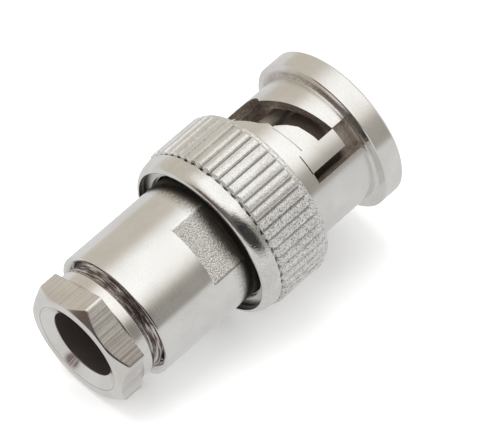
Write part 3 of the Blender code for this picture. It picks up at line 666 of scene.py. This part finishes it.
# Its shade_color is the specks' tone and the painted shade in the grooves, the notch and the lip's bore.
cast_metal = plated_metal("nickel_as_cast", ((0.86, 0.85, 0.83), (0.64, 0.61, 0.56)), 0.15, amount=0.40,
                          clouds=500.0, flecks=6000.0, marks=0.002, grain=0.052, grain_size=9500.0,
                          mask=on_ribs, grain_rough=0.10, grain_dull=0.56, shade=rib_specks_and_painted_shade,
                          shade_color=(0.06, 0.05, 0.043), shade_rough=0.36)
knurled_ring.data.materials.append(cast_metal)
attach(knurled_ring, "coupling")
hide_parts("coupling_sleeve")
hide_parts("coupling_sleeve")


# Gland nut
# A hexagon milled on a turned and threaded tube, with its outer corners turned off to a cone, a countersunk
# bore for the cable and a smooth band between thread and hexagon.
HEX_FLAT, HEX_CORNER = 4.625, 18.4
HEX_FRONT, HEX_REAR = 25.67, 27.86
CHAMFER, FACE_RADIUS = 0.74, 4.60
SHANK_RADIUS, SHANK_FRONT = 4.72, 22.05
THREAD_END, GLAND_THREAD_DEPTH = 24.70, 0.40
GLAND_BORE = 2.90
COUNTERSINK_RADIUS, COUNTERSINK_DEPTH = 3.87, 0.58
SHARPNESS, MEAN_RADIUS = 160.0, 5.0
# Centre and reach of the painted reflection in the countersink.
CONE_PAINTED_REFLECTION, REFLECTION_REACH = (-0.40, 3.30, 27.50), (0.90, 0.30)
X_LINED = (2.0, 1.3)


def hexagon(a, r, z):
    """Hexagon: r is a soft minimum of the profile and the six sides, (sum of (1 / limit)^p)^(-1 / p),
    reckoned in units of the mean radius. Thread: in front of the band r falls by the thread's height."""
    sides = np.radians(HEX_CORNER + 30 + 60 * np.arange(6))
    facing = np.maximum(np.cos(a[..., None] - sides), 1e-3) / HEX_FLAT
    limit = np.sum((facing * MEAN_RADIUS) ** SHARPNESS, axis=-1)
    soft = MEAN_RADIUS * (limit + (MEAN_RADIUS / r) ** SHARPNESS) ** (-1 / SHARPNESS)
    on_hex = (z > HEX_FRONT - 0.001) & (r > SHANK_RADIUS + 0.05)
    near_face = (z > HEX_REAR - CHAMFER - 0.2) & (r > COUNTERSINK_RADIUS + 0.1)
    r = np.where(on_hex | near_face, soft, r)
    fade = smooth_step(SHANK_FRONT, SHANK_FRONT + 0.3, z)
    fade = fade * (1 - smooth_step(THREAD_END - 0.25, THREAD_END - 0.05, z))
    threaded = (np.abs(r - SHANK_RADIUS) < 0.01) & (z < THREAD_END)
    return np.where(threaded, r - triangle_thread(a, z, GLAND_THREAD_DEPTH) * fade, r), z


corner_radius = HEX_FLAT / math.cos(math.radians(30)) + 0.05
nut_outline = rounded([
    (COUNTERSINK_RADIUS, HEX_REAR), (FACE_RADIUS, HEX_REAR), (corner_radius, HEX_REAR - CHAMFER),
    (corner_radius, HEX_FRONT), (SHANK_RADIUS, HEX_FRONT), (SHANK_RADIUS, THREAD_END + 0.04),
    (SHANK_RADIUS - 0.12, THREAD_END), (SHANK_RADIUS, THREAD_END - 0.04), (SHANK_RADIUS, SHANK_FRONT + 0.15),
    (SHANK_RADIUS - 0.15, SHANK_FRONT), (GLAND_BORE, SHANK_FRONT),
    (GLAND_BORE, HEX_REAR - COUNTERSINK_DEPTH)], 0.05)
nut_outline = dense_rows(nut_outline, 0.09)
gland_nut = turned_surface("gland_nut_piece", nut_outline, 480, hexagon, start=HEX_CORNER, sharp=32.0)


def on_sides(tree):
    """1 on the six milled sides, whose normals stand square to the axis, and 0 on all that was turned."""
    at = split_point(tree)
    facing = node(tree, "ShaderNodeTexCoord").outputs["Normal"]
    tilt = calc(tree, "ABSOLUTE", node(tree, "ShaderNodeSeparateXYZ", Vector=facing).outputs["Z"])
    rear = calc(tree, "GREATER_THAN", at["Z"], HEX_FRONT * MM)
    outer = calc(tree, "GREATER_THAN", radius_of(tree, at), 4.4 * MM)
    return calc(tree, "MULTIPLY", calc(tree, "MULTIPLY", ramp(tree, tilt, 0.30, 0.12), rear), outer)


def side_lines(tree, at):
    """Darker lines along the milled sides, strongest on the side that looks at the viewer."""
    dark = ramp(tree, group_height(tree, mill_lines, Grain=7500.0), 0.44, 0.66)
    part = calc(tree, "MULTIPLY", dark, ramp(tree, at["X"], *X_LINED, 0.25, 0.55, unit=MM))
    return calc(tree, "MULTIPLY", part, on_sides(tree))


def bore_shade_and_thread_rings(tree, at):
    """Painted shade that darkens the bore, and darker rings on the thread in front of its end."""
    # The bore's dark tone is painted shade.
    bore = calc(tree, "LESS_THAN", radius_of(tree, at), (GLAND_BORE + 0.03) * MM)
    thread_rings = ramp(tree, group_height(tree, lathe_marks, Fineness=7000.0, Drift=0.15), 0.42, 0.58, at_low=0.25)
    thread_rings = calc(tree, "MULTIPLY", thread_rings, ramp(tree, at["Z"], THREAD_END + 0.10, THREAD_END - 0.05, unit=MM))
    return calc(tree, "MAXIMUM", calc(tree, "MULTIPLY", bore, 0.75), thread_rings)


def countersink_painted_reflection(tree, at):
    """A streaked dark patch in the countersink, a painted reflection, and a thin painted reflection along its
    edge.
    """
    radius = radius_of(tree, at)
    offset = node(tree, "ShaderNodeVectorMath", {"operation": "DISTANCE"}, i0=own_point(tree),
                  i1=tuple(v * MM for v in CONE_PAINTED_REFLECTION)).outputs["Value"]
    mirrored_patch = ramp(tree, offset, *REFLECTION_REACH, unit=MM, kind="SMOOTHSTEP")
    spread = node(tree, "ShaderNodeVectorMath", {"operation": "NORMALIZE"}, i0=off_axis(tree, at)).outputs[0]
    mirrored_patch = calc(tree, "MULTIPLY", mirrored_patch, ramp(tree, noise(tree, spread, 22.0, 3.0), 0.30, 0.60, at_low=0.3))
    mirrored_patch = calc(tree, "MULTIPLY", mirrored_patch, calc(tree, "LESS_THAN", radius, (COUNTERSINK_RADIUS - 0.05) * MM))
    edge = calc(tree, "COMPARE", radius, COUNTERSINK_RADIUS * MM, 0.045 * MM)
    return calc(tree, "MULTIPLY_ADD", edge, 0.30, mirrored_patch)


def nut_marks_and_painted_shade(tree):
    """All the darker marks of the gland nut: milling lines on its sides, painted shade in its bore, darker
    rings on its thread, and a painted reflection in its countersink.
    """
    at = split_point(tree)
    turned = calc(tree, "MAXIMUM", bore_shade_and_thread_rings(tree, at), countersink_painted_reflection(tree, at))
    return calc(tree, "MAXIMUM", side_lines(tree, at), turned)


# Its shade_color is the milling lines' tone, the painted shade in the bore and the painted reflection in the
# countersink.
nut_metal = plated_metal("nickel_milled", ((0.85, 0.835, 0.81), (0.68, 0.64, 0.58)), 0.16, amount=0.5,
                         marks=0.003, fineness=7000.0, grain=0.008, grain_size=7500.0, skin=mill_lines,
                         mask=on_sides, shade=nut_marks_and_painted_shade, shade_color=(0.135, 0.080, 0.066),
                         shade_rough=0.36, shade_dull=0.22)
gland_nut.data.materials.append(nut_metal)
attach(gland_nut, "gland_nut")
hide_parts("gland_nut")


# Camera
# A long lens looks at the cable end from 22.6 degrees behind the plane square to the axis, and it is rolled
# so that the plug lies across the picture from lower left to upper right.
CAMERA_PLACE = (0.0, -275.115 * MM, 124.831 * MM)
CAMERA_RIGHT = np.array((-0.65585, -0.29140, -0.69638))
CAMERA_DOWN = np.array((-0.75488, 0.24973, 0.60645))
CAMERA_FORWARD = np.array((-0.00282, 0.92343, -0.38376))
FOCAL_PIXELS, PHOTO_WIDTH = 3990.0, 500.0
SENSOR_WIDTH = 36.0


def put(obj, sides, origin):
    """Puts a camera or lamp at an origin, with its X, Y and Z along these sides."""
    place = np.eye(4)
    place[:3, :3] = np.column_stack(sides)
    place[:3, 3] = origin
    obj.matrix_world = Matrix(place.tolist())


camera = add_object("camera", bpy.data.cameras.new("camera"))
camera.data.sensor_width = SENSOR_WIDTH
camera.data.lens = FOCAL_PIXELS / PHOTO_WIDTH * SENSOR_WIDTH
camera.data.clip_start = 0.01
camera.data.clip_end = 20.0
put(camera, [CAMERA_RIGHT, -CAMERA_DOWN, -CAMERA_FORWARD], CAMERA_PLACE)
bpy.context.scene.camera = camera
bpy.context.scene.view_settings.view_transform = "Standard"


# Table and light
# The plug lies on a white table, on the knurled ring and the nut: one plane tangent to both. A broad soft
# lamp hangs over the table. Mirror rays see a room of soft bright and dark cards, the camera sees white
# behind the table, and all other rays see grey.
TABLE_NORMAL = np.array((0.5255, -0.8385, -0.1440))
TABLE_HEIGHT = -9.11
TABLE_REACH = 0.6
TABLE_LIT, TABLE_MIRRORED, TABLE_SEEN = (0.95, 0.95, 0.95, 1), (0.30, 0.30, 0.295, 1), (1.38, 1.38, 1.38, 1)
SEEN_GLOW, MIRRORED_GLOW = 0.13, 0.58
LAMP_SIDE = np.array((0.99, 0.03, 0.06))
LAMP_LEAN = 0.40
LAMP_DISTANCE = 0.50
LAMP_AIM = np.array((0, 0, 0.015))
LAMP_SIZE = 0.42
LAMP_POWER = 0.95
ROOM, ROOM_LIGHT, BACKDROP = (0.62, 0.58, 0.51, 1), (0.86, 0.86, 0.86, 1), (1, 1, 1, 1)
CARDS = (
    ((-0.83, -0.40, -0.384), 12, 54, (0.40, 0.38, 0.345, 1)),
    ((0.40, -0.91, -0.10), 16, 53, (1.17, 1.17, 1.16, 1)),
    ((-0.30, -0.50, 0.81), 34, 50, (0.11, 0.10, 0.09, 1)),
    ((-0.27, -0.93, 0.24), 10, 25, (0.20, 0.15, 0.14, 1)),
    ((-0.57, -0.79, 0.22), 29, 34, (0.018, 0.016, 0.016, 1)),
    ((-0.84, -0.52, 0.12), 19, 30, (0.018, 0.016, 0.016, 1)),
    ((0.40, -0.27, 0.88), 12, 26, (0.11, 0.065, 0.06, 1)),
    (-TABLE_NORMAL, 86, 92, (0.80, 0.80, 0.79, 1)),
)

across = np.cross(TABLE_NORMAL, (0.0, 0.0, 1.0))
across /= np.linalg.norm(across)
along = np.cross(across, TABLE_NORMAL)
corners = np.array([(-1, -1), (1, -1), (1, 1), (-1, 1)]) * TABLE_REACH
spots = TABLE_NORMAL * TABLE_HEIGHT * MM + corners[:, :1] * across + corners[:, 1:] * along
mesh = bpy.data.meshes.new("table")
mesh.from_pydata(spots.tolist(), [], [(0, 1, 2, 3)])
if np.dot(np.array(mesh.polygons[0].normal), TABLE_NORMAL) < 0:
    mesh.flip_normals()
table = add_object("table", mesh)
paper = bpy.data.materials.new("white_table")
paper.use_nodes = True
tree = paper.node_tree
tree.nodes.remove(tree.nodes["Principled BSDF"])
rays = node(tree, "ShaderNodeLightPath").outputs
white = blend(tree, rays["Is Glossy Ray"], TABLE_LIT, TABLE_MIRRORED)
diffuse = node(tree, "ShaderNodeBsdfDiffuse", Color=blend(tree, rays["Is Camera Ray"], white, TABLE_SEEN))
glow = node(tree, "ShaderNodeEmission", Color=(1, 1, 1, 1), Strength=1.0)
clear = node(tree, "ShaderNodeBsdfTransparent")
share = calc(tree, "MULTIPLY", rays["Is Camera Ray"], SEEN_GLOW)
share = calc(tree, "MULTIPLY_ADD", rays["Is Glossy Ray"], MIRRORED_GLOW, share)
front = node(tree, "ShaderNodeMixShader", i0=share, i1=diffuse.outputs[0], i2=glow.outputs[0])
behind = node(tree, "ShaderNodeNewGeometry").outputs["Backfacing"]
sided = node(tree, "ShaderNodeMixShader", i0=behind, i1=front.outputs[0], i2=clear.outputs[0])
feed(tree, tree.nodes["Material Output"].inputs["Surface"], sided.outputs[0])
mesh.materials.append(paper)

aim = TABLE_NORMAL + LAMP_LEAN * LAMP_SIDE
aim /= np.linalg.norm(aim)
turn_x = np.cross(aim, (0.0, 0.0, 1.0))
turn_x /= np.linalg.norm(turn_x)
lamp = add_object("soft_light", bpy.data.lights.new("soft_light", "AREA"))
lamp.data.size = LAMP_SIZE
lamp.data.energy = LAMP_POWER
put(lamp, [turn_x, np.cross(aim, turn_x), aim], aim * LAMP_DISTANCE + LAMP_AIM)
lamp.visible_glossy = False

world = bpy.data.worlds.new("studio")
bpy.context.scene.world = world
world.use_nodes = True
tree = world.node_tree
rays = node(tree, "ShaderNodeLightPath").outputs
sky = node(tree, "ShaderNodeTexCoord").outputs["Generated"]
room = ROOM
for direction, inner, outer, color in CARDS:
    facing = node(tree, "ShaderNodeVectorMath", {"operation": "DOT_PRODUCT"}, i0=sky,
                  i1=tuple(map(float, direction))).outputs["Value"]
    inner, outer = (math.cos(math.radians(degrees)) for degrees in (inner, outer))
    room = blend(tree, ramp(tree, facing, outer, inner, kind="SMOOTHSTEP"), room, color)
lit = blend(tree, rays["Is Glossy Ray"], ROOM_LIGHT, room)
background = tree.nodes["Background"].inputs
feed(tree, background["Color"], blend(tree, rays["Is Camera Ray"], lit, BACKDROP))
background["Strength"].default_value = 1.0
